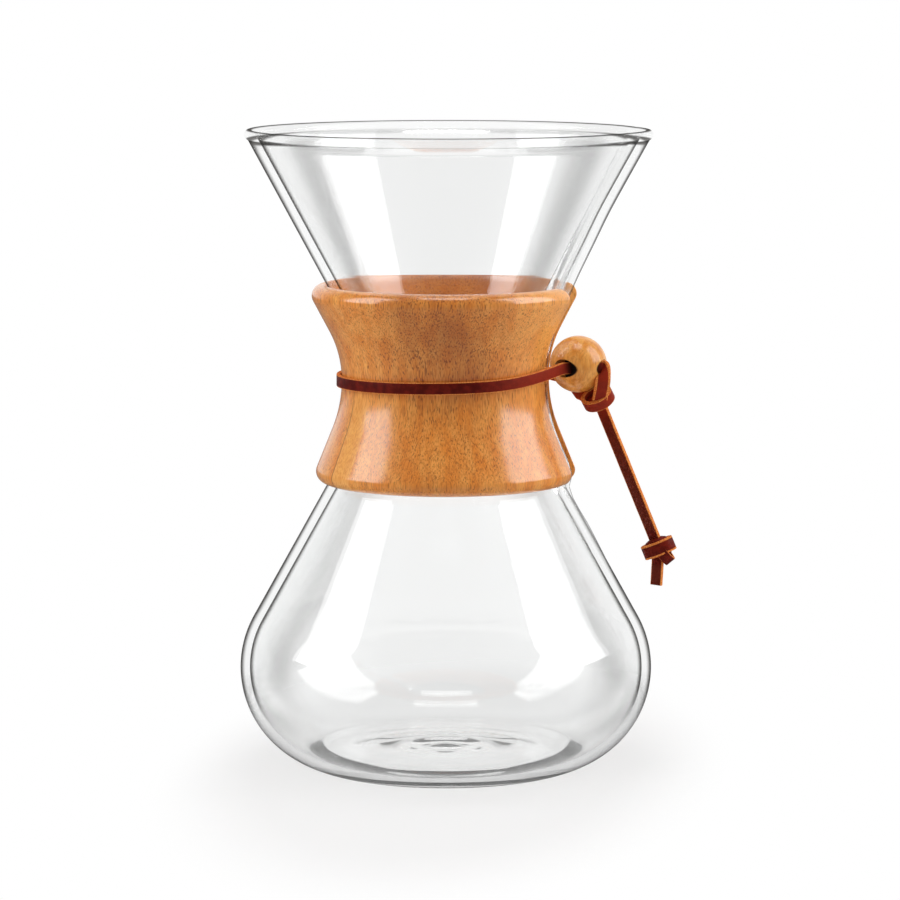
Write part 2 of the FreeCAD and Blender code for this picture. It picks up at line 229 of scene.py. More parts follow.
def between(table, place, column):
    """Smooth value of a column of a table whose first entries fall, without overshoot."""
    rows = table[::-1]
    place = min(max(place, rows[0][0]), rows[-1][0])
    slopes = [(high[column] - low[column]) / (high[0] - low[0]) for low, high in zip(rows, rows[1:])]
    i = sum(row[0] < place for row in rows[1:-1])
    low, high = rows[i], rows[i + 1]
    span = high[0] - low[0]
    t = (place - low[0]) / span
    before = slopes[max(i - 1, 0)]
    after = slopes[min(i + 1, len(slopes) - 1)]
    m0 = (before + slopes[i]) / 2 if before * slopes[i] > 0 else 0
    m1 = (after + slopes[i]) / 2 if after * slopes[i] > 0 else 0
    return (
        (2 * t**3 - 3 * t**2 + 1) * low[column]
        + (t**3 - 2 * t**2 + t) * m0 * span
        + (3 * t**2 - 2 * t**3) * high[column]
        + (t**3 - t**2) * m1 * span
    )


def flute_bulge(radius, height, angle, narrower):
    """How far the flute stands out from the round wall at a place on it."""
    if math.cos(angle) < 0:
        return 0
    climb = height - NECK.z
    side = abs(radius * math.sin(angle)) / (between(FLUTE, climb, 1) - narrower)
    return between(FLUTE, climb, 2) * (1 - side**2) ** FLUTE_FALL if side < 1 else 0


def foot_outline():
    """Dished underside of the foot, from the middle to the ring that the vessel stands on."""
    inside = BELLY.x - FOOT_RING
    steps = 10
    dish = [Vector((inside * i / steps, 0, FOOT_DISH * (1 - (i / steps) ** 2))) for i in range(steps)]
    chamfer = Vector((inside, 0, -FOOT_CHAMFER.z))
    return dish + [chamfer, chamfer + FOOT_CHAMFER, Vector((BELLY.x - 1, 0, 0))]


def floor_outline(reach):
    """Rippled inside of the flask's floor, from the radius reach to the middle."""
    points = []
    steps = 80
    for i in range(1, steps + 1):
        place = reach * (1 - i / steps)
        fade = max(0, 1 - place / RIPPLE_REACH)
        ripple = RIPPLE_HEIGHT * fade * math.cos(2 * math.pi * place / RIPPLE_STEP)
        ridge = HEEL_HEIGHT * math.exp(-(((place - HEEL_RADIUS) / HEEL_WIDTH) ** 2))
        points.append(Vector((place, 0, FLOOR + ripple + ridge)))
    return points


def glass_outline():
    """Outer outline from under the foot over the lip, and inner outline from there to the floor."""
    lip = Vector((RIM_RADIUS - LIP_INSET, 0, RIM_HEIGHT))
    lip_ends = []
    for inset in (0, WALL):
        wall_at_rim = Vector((RIM_RADIUS - inset / math.cos(FUNNEL_ANGLE), 0, RIM_HEIGHT))
        apart = (wall_at_rim - lip).dot(FUNNEL_NORMAL)
        along = math.sqrt(max(LIP_RADIUS**2 - apart**2, 0))
        lip_ends.append(lip + FUNNEL_NORMAL * apart - lean(math.pi / 2 - FUNNEL_ANGLE) * along)
    first, last = [math.atan2(end.z - lip.z, end.x - lip.x) for end in lip_ends]
    outside = foot_outline() + arc_points(BELLY, BELLY_ROUND, -math.pi / 2, 0, 34)
    outside += wall_points(0, lip_ends[0].z, 0)[1:]
    outside += arc_points(lip, LIP_RADIUS, first, last % (2 * math.pi), 22)[1:]

    reach = BELLY_ROUND - WALL - FLOOR_CORNER
    rise = FLOOR + FLOOR_CORNER - BELLY.z
    corner = Vector((BELLY.x + math.sqrt(reach**2 - rise**2), 0, FLOOR + FLOOR_CORNER))
    meet = math.atan2(rise, corner.x - BELLY.x)
    inside = wall_points(WALL, lip_ends[1].z, meet)[::-1][1:]
    inside += arc_points(corner, FLOOR_CORNER, meet, -math.pi / 2, 14)[1:]
    return outside, inside + floor_outline(corner.x)


def ring_faces(rows):
    """Faces between closed rows of point numbers that follow each other; a row of one is a pole."""
    faces = []
    count = max(len(row) for row in rows)
    for low, high in zip(rows, rows[1:]):
        for i in range(count):
            j = (i + 1) % count
            if len(low) == 1:
                faces.append((low[0], high[j], high[i]))
            elif len(high) == 1:
                faces.append((low[i], low[j], high[0]))
            else:
                faces.append((low[i], low[j], high[j], high[i]))
    return faces


def new_piece(name, points, faces, material):
    """Smooth piece from points in millimetres, with its place in its mesh."""
    mesh = bpy.data.meshes.new(name)
    mesh.from_pydata([p * MM for p in points], [], faces)
    mesh.validate()
    mesh.shade_smooth()
    mesh.materials.append(material)
    piece = bpy.data.objects.new(name, mesh)
    bpy.context.scene.collection.objects.link(piece)
    return piece


def capped_tube(name, rings, material):
    """Piece through closed rings of as many points each, with a flat face at both ends."""
    count = len(rings[0])
    rows = [list(range(r * count, (r + 1) * count)) for r in range(len(rings))]
    faces = ring_faces(rows) + [rows[0][::-1], rows[-1]]
    return new_piece(name, [point for ring in rings for point in ring], faces, material)


def make_vessel(material):
    """The glass in one closed skin, with closer points on the side of the flute."""
    outside, inside = glass_outline()
    fan = 50
    rest = 150
    angles = [FLUTE_SPREAD * a / fan for a in range(-fan, fan + 1)]
    angles += [FLUTE_SPREAD + 2 * (math.pi - FLUTE_SPREAD) * i / rest for i in range(1, rest)]
    points = []
    rows = []
    for place, narrower in [(p, 0) for p in outside] + [(p, FLUTE_WALL) for p in inside]:
        at_pole = place.x < 1e-6
        row = []
        for angle in [0] if at_pole else angles:
            bulge = 0 if at_pole else flute_bulge(place.x, place.z, angle, narrower)
            row.append(len(points))
            points.append(plan(angle) * (place.x + bulge) + UP * place.z)
        rows.append(row)
    return new_piece("vessel_glass", points, ring_faces(rows), material)


# Wooden collar

WAIST_HEIGHT = NECK.z + COLLAR_LIFT
WAIST_RADIUS = NECK.x - NECK_ROUND + COLLAR_FIT + COLLAR_WALL
COLLAR_TOP = WAIST_HEIGHT + COLLAR_RISE
COLLAR_BOTTOM = WAIST_HEIGHT - COLLAR_DROP

BAND_HEIGHT = WAIST_HEIGHT + BAND_LIFT
BAND_RADIUS = WAIST_RADIUS + LACE_FIT + LACE_THICK / 2 + LACE_SLACK
BEAD = Vector((WAIST_RADIUS + BEAD_GAP + BEAD_RADIUS, 0, BAND_HEIGHT + BEAD_RISE))
BORE_AXIS = plan(BORE_TURN)
BORE_OFFSET = BEAD_RADIUS - BORE_RADIUS - BORE_WALL
BORE_HALF = math.sqrt(BEAD_RADIUS**2 - BORE_OFFSET**2)
BORE_MIDDLE = BEAD + plan(BORE_TURN - math.pi / 2) * BORE_OFFSET - UP * BORE_DROP
BORE_ENTRY = BORE_MIDDLE - BORE_AXIS * BORE_HALF
BORE_EXIT = BORE_MIDDLE + BORE_AXIS * BORE_HALF
BORE_END = BORE_EXIT - BORE_AXIS * BORE_INSET
HANG = lean(HANG_ANGLE - math.pi / 2)
KNOT = BEAD + KNOT_STEP
HANG_PIVOT = KNOT + HANG * HANG_REACH
END_KNOT = HANG_PIVOT + HANG * (HANG_LENGTH + END_KNOT_HEIGHT / 2)


def flare_points(toward):
    """Outline of one flare from the waist to its flat end, toward is 1 up and -1 down."""
    end = COLLAR_TOP if toward > 0 else COLLAR_BOTTOM
    edge = COLLAR_EDGE[toward]
    around = COLLAR_ROUND[toward]
    waist = Vector((WAIST_RADIUS + around, 0, WAIST_HEIGHT))
    corner = Vector((wall_radius(-COLLAR_FIT, end) + COLLAR_LAND[toward], 0, end - toward * edge))
    apart = waist - corner
    angle = math.atan2(apart.z, apart.x) + toward * math.acos((around + edge) / apart.length)
    points = arc_points(waist, around, math.pi, math.pi + angle, 18)
    points += line_points(points[-1], corner + lean(angle) * edge, 12)[1:]
    points += arc_points(corner, edge, angle, toward * math.pi / 2, 12)[1:]
    return points


def collar_outline():
    """Outside of the collar's wood from the bottom up, and its bore from the top down."""
    steps = 44
    heights = [COLLAR_TOP + (COLLAR_BOTTOM - COLLAR_TOP) * i / steps for i in range(steps + 1)]
    bore = [Vector((wall_radius(-COLLAR_FIT, height), 0, height)) for height in heights]
    return flare_points(-1)[:0:-1] + flare_points(1), bore


def opening_half(height):
    """Half of the gap between the two halves, on the side of the flute."""
    return between(FLUTE, height - NECK.z, 1) + FLUTE_CLEARANCE


def make_half(name, side, material):
    """One half of the collar; side is -1 for the front and 1 for the rear."""
    outside, bore = collar_outline()
    outline = outside + bore
    count = len(outline)
    steps = 110
    row = steps + 1
    points = []
    for place in outline:
        start = math.asin(opening_half(place.z) / place.x)
        end = math.pi - math.asin(SEAM / 2 / place.x)
        for i in range(row):
            angle = side * (start + (end - start) * i / steps)
            points.append(plan(angle) * place.x + UP * place.z)
    faces = []
    for k in range(count):
        this, after = k * row, (k + 1) % count * row
        faces += [(this + i, this + i + 1, after + i + 1, after + i) for i in range(steps)]
    faces.append([k * row for k in range(count)])
    faces.append([k * row + steps for k in range(count)][::-1])
    if side < 0:
        faces = [face[::-1] for face in faces]
    half = new_piece(name, points, faces, material)
    marks = half.data.attributes.new("bore", "FLOAT", "POINT")
    marks.data.foreach_set("value", [0.0] * (len(outside) * row) + [1.0] * (len(bore) * row))
    bevel = half.modifiers.new("Edges", "BEVEL")
    bevel.width = COLLAR_BEVEL * MM
    bevel.segments = 3
    bevel.limit_method = "ANGLE"
    bevel.angle_limit = math.radians(50)
    apply_modifiers(half)
    half.data.set_sharp_from_angle(angle=math.radians(40))
    return half


def apply_modifiers(piece):
    """Turns the piece's evaluated shape into its own plain mesh."""
    shape = bpy.data.meshes.new_from_object(piece.evaluated_get(bpy.context.evaluated_depsgraph_get()))
    piece.modifiers.clear()
    piece.data = shape


# Shader trees


class Wire:
    """A socket of a shader tree that sums and products can be written with."""

    def __init__(self, build, socket):
        self.build = build
        self.socket = socket

    def __add__(self, other):
        return self.build.math("ADD", self, other)

    __radd__ = __add__

    def __sub__(self, other):
        return self.build.math("SUBTRACT", self, other)

    def __rsub__(self, other):
        return self.build.math("SUBTRACT", other, self)

    def __mul__(self, other):
        return self.build.math("MULTIPLY", self, other)

    __rmul__ = __mul__

    def __truediv__(self, other):
        return self.build.math("DIVIDE", self, other)

    def __rtruediv__(self, other):
        return self.build.math("DIVIDE", other, self)

    def __abs__(self):
        return self.build.math("ABSOLUTE", self)

    def step(self, low, high):
        """0 below low, 1 above high, smooth between."""
        settings = {"interpolation_type": "SMOOTHSTEP"}
        inputs = {"Value": self, "From Min": low, "From Max": high}
        return self.build.node("ShaderNodeMapRange", settings, inputs)["Result"]


class Build:
    """The node tree of a material, a world or a node group."""

    def __init__(self, owner):
        self.owner = owner
        if isinstance(owner, bpy.types.NodeTree):
            self.tree = owner
        else:
            owner.use_nodes = True
            self.tree = owner.node_tree
        self.tree.nodes.clear()

    def feed(self, socket, value):
        """Links a wire to the socket or sets a plain value on it."""
        if isinstance(value, Wire):
            self.tree.links.new(value.socket, socket)
        else:
            socket.default_value = value

    def node(self, kind, settings=None, inputs=None):
        """Adds a node; its outputs come back by name, as wires."""
        made = self.tree.nodes.new(kind)
        for name, value in (settings or {}).items():
            setattr(made, name, value)
        for name, value in (inputs or {}).items():
            self.feed(made.inputs[name], value)
        return {out.name: Wire(self, out) for out in made.outputs if out.enabled}

    def math(self, operation, *values):
        made = self.tree.nodes.new("ShaderNodeMath")
        made.operation = operation
        for socket, value in zip(made.inputs, values):
            self.feed(socket, value)
        return Wire(self, made.outputs[0])

    def vector_math(self, operation, *values, result="Vector"):
        made = self.tree.nodes.new("ShaderNodeVectorMath")
        made.operation = operation
        for socket, value in zip(made.inputs, values):
            self.feed(socket, value)
        return Wire(self, made.outputs[result])

    def mix(self, factor, first, second):
        """Mixes two colours."""
        made = self.tree.nodes.new("ShaderNodeMix")
        made.data_type = "RGBA"
        for index, value in ((0, factor), (6, first), (7, second)):
            self.feed(made.inputs[index], value)
        return Wire(self, made.outputs[2])

    def mix_shaders(self, factor, first, second):
        made = self.tree.nodes.new("ShaderNodeMixShader")
        for socket, value in zip(made.inputs, (factor, first, second)):
            self.feed(socket, value)
        return Wire(self, made.outputs[0])

    def noise(self, vector, stretch, detail=2.0, roughness=0.5):
        """Noise with its own number of cells per metre along each axis."""
        inputs = {
            "Vector": self.vector_math("MULTIPLY", vector, stretch),
            "Scale": 1.0,
            "Detail": detail,
            "Roughness": roughness,
        }
        return self.node("ShaderNodeTexNoise", {}, inputs)["Fac"]

    def place(self):
        return self.node("ShaderNodeTexCoord")["Object"]

    def attribute(self, name, output):
        return self.node("ShaderNodeAttribute", {"attribute_name": name})[output]

    def split(self, vector):
        return self.node("ShaderNodeSeparateXYZ", {}, {"Vector": vector})

    def larger(self, first, second):
        """The larger of two values."""
        return self.math("MAXIMUM", first, second)

    def transparent(self, tint):
        return self.node("ShaderNodeBsdfTransparent", {}, {"Color": tint})["BSDF"]

    def principled(self, inputs):
        return self.node("ShaderNodeBsdfPrincipled", {}, inputs)["BSDF"]

    def bump(self, height, strength, distance):
        inputs = {"Height": height, "Strength": strength, "Distance": distance}
        return self.node("ShaderNodeBump", {}, inputs)["Normal"]

    def output(self, shader):
        """Ends the tree with a shader and returns the material or world."""
        is_world = isinstance(self.owner, bpy.types.World)
        kind = "ShaderNodeOutputWorld" if is_world else "ShaderNodeOutputMaterial"
        self.node(kind, {}, {"Surface": shader})
        return self.owner


def colour(red, green, blue):
    """Linear colour of an sRGB one given as 0 to 255."""
    parts = []
    for value in (red, green, blue):
        value /= 255
        parts.append(value / 12.92 if value <= 0.04045 else ((value + 0.055) / 1.055) ** 2.4)
    return (*parts, 1)


def make_glass():
    """Clear glass that lets the lamps through, with a painted thin dark line where it is looked along,
    standing in for what its edges reflect.
    """
    b = Build(bpy.data.materials.new("clear glass"))
    facing = b.node("ShaderNodeLayerWeight", {}, {"Blend": 0.5})["Facing"]
    path = b.node("ShaderNodeLightPath")
    spread = b.split(b.place())
    height = spread["Z"]
    lip = height.step((RIM_HEIGHT - 3) * MM, (RIM_HEIGHT - 1) * MM)
    foot = 1 - height.step(14 * MM, 30 * MM)
    above_bottom = height.step(COLLAR_BOTTOM * MM, (COLLAR_BOTTOM + 8) * MM)
    below_top = 1 - height.step((COLLAR_TOP - 8) * MM, COLLAR_TOP * MM)
    in_gap = above_bottom * below_top * spread["X"].step(24 * MM, 28 * MM)

    inputs = {
        "Base Color": (0.985, 0.988, 0.986, 1),
        "Roughness": 0.0,
        "IOR": 1.5,
        "Transmission Weight": 1.0,
    }
    refracting = b.principled(inputs)
    from_lip = abs(height - RIM_HEIGHT * MM) / (LIP_RADIUS * MM)
    edge = facing.step(0.77 - lip * 0.45, 0.93 - lip * 0.3) * (1 - lip * (1 - from_lip.step(0.7, 0.98)))
    # Painted reflection: the see-through is tinted dark where the glass is looked along, darkest at the lip.
    painted_edge_line = b.transparent((0.24, 0.235, 0.23, 1))
    painted_lip_line = b.transparent((0.05, 0.045, 0.04, 1))
    line = b.mix_shaders(lip, painted_edge_line, painted_lip_line)
    straight = b.mix_shaders(edge, b.transparent((0.98, 0.982, 0.981, 1)), line)

    lighting = b.larger(path["Is Shadow Ray"], path["Is Diffuse Ray"])
    share = facing.step(0.25, 0.6) * (0.95 - foot * 0.88) * (1 - in_gap)
    share = b.larger(lighting, b.larger(share, lip * 0.9))
    return b.output(b.mix_shaders(share, refracting, straight))


def varnished(b, tone, pore, unevenness, bare):
    """Satin varnish over a tone, missing where bare is 1."""
    inputs = {
        "Base Color": tone,
        "Roughness": 0.5 + unevenness * 0.1,
        "Specular IOR Level": 0.15,
        "Normal": b.bump(1 - pore, 0.3, 0.00015),
        "Coat Weight": 1 - bare,
        "Coat Roughness": 0.19,
        "Coat IOR": 1.72,
    }
    return b.output(b.principled(inputs))


def make_collar_wood():
    """Orange hardwood with upright grain, a brown heart, short dark pores and glued staves, and painted
    light: a paler right side on its upper flare.
    """
    b = Build(bpy.data.materials.new("collar wood"))
    place = b.place()
    spread = b.split(place)
    fibre = b.noise(place, (2600, 2600, 240))
    figure = b.noise(place, (300, 300, 45))
    blotch = b.noise(place, (75, 75, 50))
    pores = b.noise(place, (3000, 3000, 340), detail=0.0)
    crowd = b.noise(place, (200, 200, 70))
    upper = spread["Z"].step(110 * MM, 135 * MM)
    heart = 1 - abs(spread["X"] - 4 * MM).step(6 * MM, 29 * MM)
    angle = abs(b.math("ARCTAN2", spread["Y"], spread["X"]))
    stave = angle.step(2.268, 2.284) * (1 - angle.step(2.498, 2.508)) * (1 - upper * 0.8)
    glue = (1 - abs(angle - 2.5045).step(0.002, 0.009)) * (1 - upper)

    tone = b.mix(figure.step(0.3, 0.7), colour(236, 142, 48), colour(248, 168, 76))
    brown = heart * (0.35 + blotch.step(0.35, 0.65) * 0.65) * (0.4 + upper * 0.6)
    tone = b.mix(brown * 0.62, tone, colour(158, 84, 34))
    tone = b.mix(fibre.step(0.4, 0.66) * 0.5, tone, colour(176, 88, 24))
    paler = b.mix(fibre.step(0.35, 0.65), colour(255, 188, 98), colour(232, 150, 68))
    tone = b.mix(stave * 0.85, tone, paler)
    # Painted light: the upper flare is painted paler towards its right side.
    tone = b.mix(upper * spread["X"].step(16 * MM, 42 * MM) * 0.5, tone, colour(255, 184, 102))
    pore = (pores + crowd * 0.14 + heart * (0.02 + upper * 0.04)).step(0.735, 0.805) * (1 - stave * 0.85)
    tone = b.mix(pore * (0.5 + upper * 0.15), tone, colour(104, 48, 16))
    tone = b.mix(glue * 0.75, tone, colour(104, 50, 16))

    bore = b.attribute("bore", "Fac")
    rim = spread["Z"].step((COLLAR_TOP - 2.5) * MM, (COLLAR_TOP - 1) * MM)
    tone = b.mix(bore * 0.5, tone, colour(196, 104, 34))
    return varnished(b, tone, pore, blotch, bore * (1 - rim) * 0.85)


def make_bead_wood():
    """Paler wood with fine grain, with painted shade inside its bore, which is painted near black."""
    b = Build(bpy.data.materials.new("bead wood"))
    place = b.place()
    fibre = b.noise(place, (2400, 2400, 260), 3.0, 0.6)
    figure = b.noise(place, (420, 420, 110), 3.0, 0.6)
    pore = b.noise(place, (2300, 2300, 420), 1.0).step(0.7, 0.76)
    tone = b.mix(figure.step(0.35, 0.68), colour(222, 140, 50), colour(244, 176, 88))
    tone = b.mix(fibre.step(0.42, 0.7) * 0.45, tone, colour(172, 94, 36))
    tone = b.mix(pore * 0.5, tone, colour(120, 62, 24))

    reach = b.vector_math("SUBTRACT", place, BORE_MIDDLE * MM)
    along = b.vector_math("DOT_PRODUCT", reach, BORE_AXIS, result="Value")
    length = b.vector_math("LENGTH", reach, result="Value")
    off_axis = b.math("SQRT", length * length - along * along)
    at_exit = b.math("GREATER_THAN", along, 0)
    mouth = (BORE_MOUTH[-1] - at_exit * (BORE_MOUTH[-1] - BORE_MOUTH[1])) * MM
    bore = 1 - (off_axis - mouth).step(-0.12 * MM, 0.12 * MM)
    # Painted shade: the inside of the bore is painted near black.
    tone = b.mix(bore, tone, colour(14, 4, 1))
    return varnished(b, tone, pore, figure, b.larger(bore, 0.3))


def make_leather():
    """Waxed red-brown faces and bare orange cut edges, dark where the bead shades them."""
    b = Build(bpy.data.materials.new("lace leather"))
    place = b.place()
    spread = b.split(place)
    mottle = b.noise(place, (420, 420, 420), 4.0, 0.6)
    fine = b.noise(place, (2600, 2600, 2600), 3.0, 0.6)
    section = b.split(b.attribute("section", "Vector"))
    from_edge = LACE_WIDTH / 2 * MM - abs(section["X"])
    edge = 1 - from_edge.step(0.14 * MM, 0.34 * MM)
    right = spread["X"].step(12 * MM, 36 * MM) * (0.15 + spread["Z"].step(108 * MM, 118 * MM) * 0.85)
    end_knot = spread["Z"].step(66 * MM, 67 * MM) * (1 - spread["Z"].step(77 * MM, 78 * MM))
    hanging = (1 - spread["Z"].step(105 * MM, 116 * MM)) * (1 - end_knot)
    from_bead = b.vector_math("LENGTH", b.vector_math("SUBTRACT", place, BEAD * MM), result="Value")
    shade = 1 - from_bead.step((BEAD_RADIUS - 1.6) * MM, (BEAD_RADIUS + 0.2) * MM)

    face = b.mix(mottle.step(0.35, 0.7), colour(82, 10, 2), colour(112, 24, 10))
    face = b.mix(right * 0.55, face, colour(172, 52, 26))
    face = b.mix(fine.step(0.45, 0.8) * 0.35, face, colour(56, 8, 2))
    face = b.mix(hanging * 0.8, face, colour(108, 38, 20))
    cut = b.mix(fine.step(0.3, 0.7), colour(190, 92, 34), colour(246, 160, 84))
    tone = b.mix(edge, face, cut)
    tone = b.mix(shade * 0.92, tone, colour(16, 3, 1))
    inputs = {
        "Base Color": tone,
        "Roughness": 0.42 + edge * 0.4 + fine * 0.1,
        "Specular IOR Level": 0.1,
        "Normal": b.bump(fine + mottle, 0.3, 0.0001),
        "Coat Weight": 0.03,
        "Coat Roughness": 0.3,
    }
    return b.output(b.principled(inputs))


# Leather lace


def lace_tree():
    """Sweeps the lace's flat section along a path whose points say which way its width lies."""
    tree = bpy.data.node_groups.new("Flat lace", "GeometryNodeTree")
    face = tree.interface
    face.new_socket("Geometry", in_out="INPUT", socket_type="NodeSocketGeometry")
    for name in ("Width", "Thickness", "Edge Round", "Unevenness"):
        face.new_socket(name, in_out="INPUT", socket_type="NodeSocketFloat")
    face.new_socket("Seed", in_out="INPUT", socket_type="NodeSocketInt")
    face.new_socket("Leather", in_out="INPUT", socket_type="NodeSocketMaterial")
    face.new_socket("Geometry", in_out="OUTPUT", socket_type="NodeSocketGeometry")

    b = Build(tree)
    given = b.node("NodeGroupInput")
    vector = {"data_type": "FLOAT_VECTOR"}
    on_points = {"domain": "POINT"}
    across = b.node("GeometryNodeInputNamedAttribute", vector, {"Name": "across"})["Attribute"]
    path = b.node("GeometryNodeMeshToCurve", {}, {"Mesh": given["Geometry"]})["Curve"]
    path = b.node("GeometryNodeSetCurveNormal", {"mode": "FREE"}, {"Curve": path, "Normal": across})["Curve"]

    sizes = {"Width": given["Width"], "Height": given["Thickness"]}
    section = b.node("GeometryNodeCurvePrimitiveQuadrilateral", {}, sizes)["Curve"]
    rounding = {"Curve": section, "Count": 3, "Radius": given["Edge Round"]}
    section = b.node("GeometryNodeFilletCurve", {"mode": "POLY"}, rounding)["Curve"]
    spot = b.node("GeometryNodeInputPosition")["Position"]
    keep = {"Geometry": section, "Name": "section", "Value": spot}
    section = b.node("GeometryNodeStoreNamedAttribute", vector | on_points, keep)["Geometry"]

    swept = {"Curve": path, "Profile Curve": section, "Fill Caps": True}
    lace = b.node("GeometryNodeCurveToMesh", {}, swept)["Mesh"]
    grain = {"W": given["Seed"], "Scale": 300, "Detail": 1}
    grain = b.node("ShaderNodeTexNoise", {"noise_dimensions": "4D"}, grain)["Color"]
    shift = b.vector_math("SUBTRACT", grain, (0.5, 0.5, 0.5))
    shift = {"Vector": shift, "Scale": given["Unevenness"]}
    shift = b.node("ShaderNodeVectorMath", {"operation": "SCALE"}, shift)["Vector"]
    lace = b.node("GeometryNodeSetPosition", {}, {"Geometry": lace, "Offset": shift})["Geometry"]
    lace = b.node("GeometryNodeRealizeInstances", {}, {"Geometry": lace})["Geometry"]
    lace = b.node("GeometryNodeSetMaterial", {}, {"Geometry": lace, "Material": given["Leather"]})["Geometry"]
    b.node("NodeGroupOutput", {}, {"Geometry": lace})
    return tree


def lay_lace(name, points, across, tree, leather, seed, closed=False, width=LACE_WIDTH):
    """A stretch of lace along points, its width lying along the across vectors."""
    mesh = bpy.data.meshes.new(name)
    count = len(points)
    edges = [(i, (i + 1) % count) for i in range(count if closed else count - 1)]
    mesh.from_pydata([p * MM for p in points], edges, [])
    ways = mesh.attributes.new("across", "FLOAT_VECTOR", "POINT")
    for item, way in zip(ways.data, across):
        item.vector = way
    piece = bpy.data.objects.new(name, mesh)
    bpy.context.scene.collection.objects.link(piece)
    sweep = piece.modifiers.new("Lace", "NODES")
    sweep.node_group = tree
    values = {
        "Width": width * MM,
        "Thickness": LACE_THICK * MM,
        "Edge Round": LACE_ROUND * MM,
        "Unevenness": LACE_UNEVENNESS * MM,
        "Seed": seed,
        "Leather": leather,
    }
    for item in tree.interface.items_tree:
        if item.in_out == "INPUT" and item.name in values:
            sweep[item.identifier] = values[item.name]
    apply_modifiers(piece)
    piece.data.shade_smooth()
    piece.data.set_sharp_from_angle(angle=math.radians(24))
    return piece


def along_route(route, resolution):
    """Points of the smooth spline through a hanging lace's route."""
    curve = bpy.data.curves.new("route", "CURVE")
    curve.dimensions = "3D"
    curve.resolution_u = resolution
    spline = curve.splines.new("NURBS")
    spline.points.add(len(route) - 1)
    for point, place in zip(spline.points, route):
        point.co = (*place, 1)
    spline.order_u = 3
    spline.use_endpoint_u = True
    holder = bpy.data.objects.new("route", curve)
    line = bpy.data.meshes.new_from_object(holder)
    points = [vertex.co.copy() for vertex in line.vertices]
    bpy.data.objects.remove(holder)
    bpy.data.curves.remove(curve)
    bpy.data.meshes.remove(line)
    return points


def through(stations, steps):
    """Smooth points and width directions through stations of (point, width direction)."""
    points = []
    ways = []
    last = len(stations) - 1
    for i in range(last):
        picks = [stations[max(i - 1, 0)], stations[i], stations[i + 1], stations[min(i + 2, last)]]
        for k in range(steps):
            t = k / steps
            weights = (
                (-t + 2 * t**2 - t**3) / 2,
                (2 - 5 * t**2 + 3 * t**3) / 2,
                (t + 4 * t**2 - 3 * t**3) / 2,
                (-(t**2) + t**3) / 2,
            )
            points.append(sum((p * w for (p, _), w in zip(picks, weights)), Vector()))
            ways.append(stations[i][1].lerp(stations[i + 1][1], t).normalized())
    points.append(stations[-1][0])
    ways.append(stations[-1][1].normalized())
    return points, ways


def band_point(angle):
    """Place on the lace's middle line round the waist, which is tied a little higher on the right."""
    place = plan(angle) * BAND_RADIUS
    return place + UP * (BAND_HEIGHT + place.x * BAND_SLOPE)


def band_stations(start, end, count):
    """Stations round the waist between two angles, with the lace's width upright."""
    return [(band_point(start + (end - start) * i / count), UP) for i in range(count + 1)]


def leave_angle(target, turn):
    """Where a taut lace leaves the waist towards a point, turn is 1 or -1."""
    away = math.hypot(target.x, target.y)
    return math.atan2(target.y, target.x) + turn * math.acos(BAND_RADIUS / away)


# The front strand rises towards the bead from RISE_START on, and the bridge crosses the seam
BRIDGE = math.radians(150)
RISE_START = math.radians(-75)
RISE_POWER = 2.6

# Rear strand behind and below the bead, from the bead's centre, and its end from the knot's
REAR_PASS = Vector((-4.6, 9.3, -5.4))
REAR_TURN = Vector((-2.7, 8.7, -8.9))
REAR_END = Vector((-3.4, 2.6, -0.3))

# Loop out of the bead and down into the knot: to the right, forward and down from the bore's mouth,
# and the way of the lace's width by its shares to the right, forward and up
LOOP_TURN = math.radians(6.5)
LOOP = [
    (0.0, 0.3, 0.2, (0, 0, 1)),
    (-0.1, 1.4, 1.0, (0.8, 0, 1)),
    (-0.4, 2.3, 2.4, (1, 0, 0.3)),
    (-0.6, 2.7, 4.1, (1, -0.1, 0)),
    (-0.8, 2.3, 6.0, (1, 0, 0)),
    (-1.1, 1.3, 8.0, (1, 0, 0)),
    (-1.5, 0.7, 10.2, (1, 0, 0)),
]


def front_strand_stations():
    """Round the front of the waist, up to the bead and through its bore."""
    leave = leave_angle(BORE_ENTRY, -1)
    start = band_point(leave)
    round_waist = (leave - RISE_START) * BAND_RADIUS
    length = round_waist + (BORE_ENTRY - start).length
    climb = BORE_ENTRY.z - start.z
    steps = 8
    stations = band_stations(-BRIDGE, RISE_START, 20)
    for i in range(1, steps + 1):
        angle = RISE_START + (leave - RISE_START) * i / steps
        share = round_waist * i / steps / length
        stations.append((band_point(angle) + UP * climb * share**RISE_POWER, UP))
    for i in range(1, steps):
        share = (round_waist + (length - round_waist) * i / steps) / length
        level = start.lerp(BORE_ENTRY, i / steps)
        level.z = start.z + climb * share**RISE_POWER
        stations.append((level, UP))
    return stations + [(place, UP) for place in (BORE_ENTRY + BORE_AXIS, BORE_MIDDLE, BORE_END)]


def loop_stations():
    """Out of the bore's right mouth, forward and down into the upper knot."""
    right = plan(LOOP_TURN)
    front = plan(LOOP_TURN - math.pi / 2)
    stations = [(BORE_END, UP)]
    for to_right, forward, down, (r, f, u) in LOOP:
        way = (right * r + front * f + UP * u).normalized()
        stations.append((BORE_EXIT + right * to_right + front * forward - UP * down, way))
    return stations


def rear_strand_stations():
    """Round the back of the waist, behind the bead and up into the upper knot."""
    behind_bead = BEAD + REAR_PASS
    below_bead = BEAD + REAR_TURN
    stations = band_stations(BRIDGE, leave_angle(behind_bead, 1), 26)
    start = stations[-1][0]
    stations += [(start.lerp(behind_bead, share), UP) for share in (0.35, 0.7, 1.0)]
    stations += [(below_bead.lerp(KNOT + REAR_END, share), UP) for share in (0.3, 0.6, 1.0)]
    return stations


def half_axes(side, deep, half_length, half_depth, inset):
    """Half axes of a knot's oval along side and deep, drawn in by inset."""
    return side * (half_length - inset), deep * (half_depth - inset)


